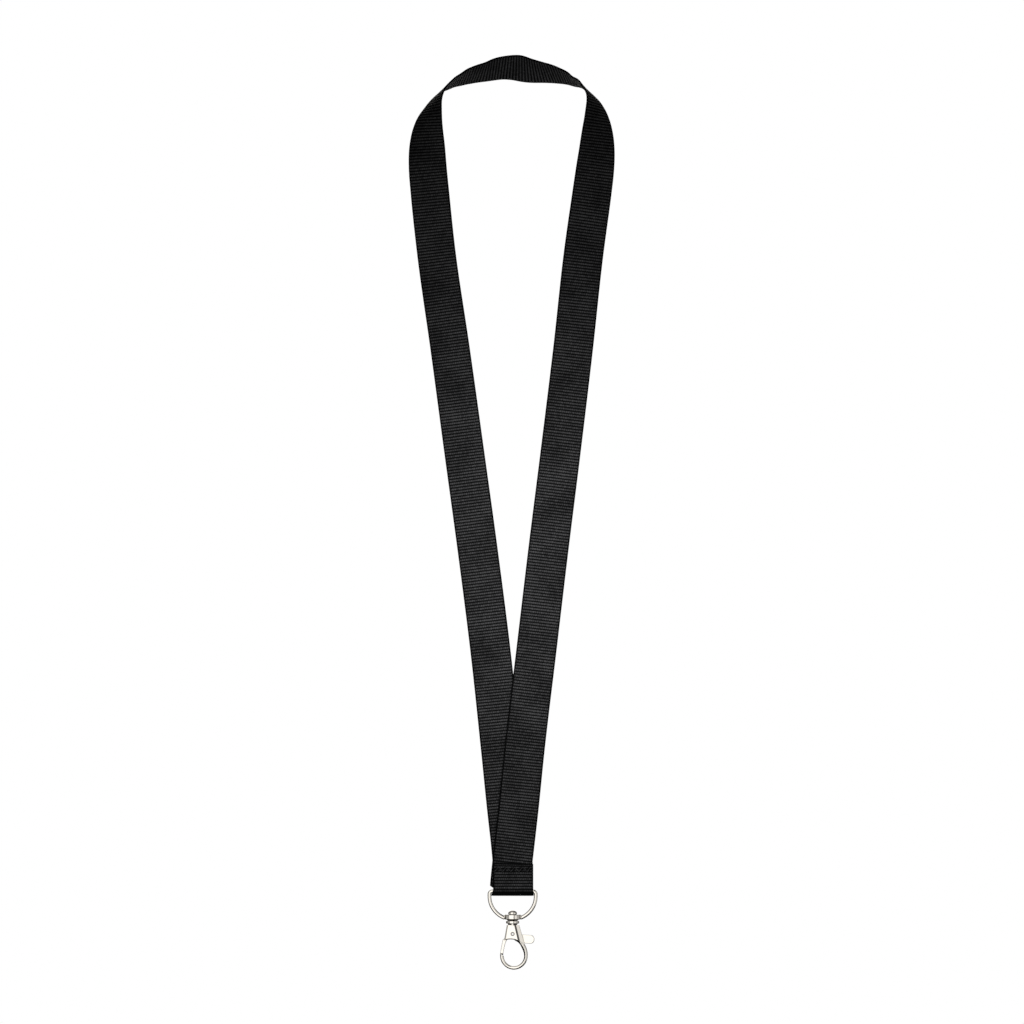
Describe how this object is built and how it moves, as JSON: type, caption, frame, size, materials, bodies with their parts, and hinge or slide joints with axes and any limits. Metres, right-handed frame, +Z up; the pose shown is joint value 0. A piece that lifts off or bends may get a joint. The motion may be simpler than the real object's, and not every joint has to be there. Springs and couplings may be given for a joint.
{
  "type": "neck lanyard",
  "caption": "Ribbed webbing neck loop folded round a D-ring and sewn, with a swivelling trigger hook whose sprung gate opens with a thumb tab.",
  "frame": {"origin": "middle of the band's underside at its highest point, where it rests on the neck", "axes": "+Z up, the lanyard hanging; the front faces -Y; +X is the side of the hook's thumb tab"},
  "size_m": [0.104, 0.0308, 0.4613],
  "materials": {
    "webbing": "black ribbed polyester webbing",
    "thread": "black sewing thread",
    "plated_zinc": "polished nickel plate, slightly warm",
    "steel": "bright steel wire"
  },
  "bodies": {
    "strap": {"neck_strap": "webbing", "needle_thread": "thread", "bobbin_thread": "thread"},
    "ring": {"d_ring": "plated_zinc"},
    "hook": {"hook_body": "plated_zinc", "swivel_rivet": "plated_zinc", "pivot_pin": "steel", "gate_spring": "steel"},
    "gate": {"gate_lever": "plated_zinc"}
  },
  "joints": [
    {"name": "ring_swing", "type": "hinge", "parent": "strap", "child": "ring", "pos_m": [0, -0.017, -0.4151], "axis": [1, 0, 0], "range_deg": [-130, 130]},
    {"name": "hook_swivel", "type": "hinge", "parent": "ring", "child": "hook", "pos_m": [0, -0.017, -0.4298], "axis": [0, 0, 1], "continuous": true},
    {"name": "gate_pivot", "type": "hinge", "parent": "hook", "child": "gate", "pos_m": [0, -0.017, -0.4366], "axis": [0, -1, 0], "range_deg": [0, 25], "stiffness_Nm_per_rad": 0.006, "springref_deg": -20.05, "deforming": ["gate_spring"]}
  ]
}
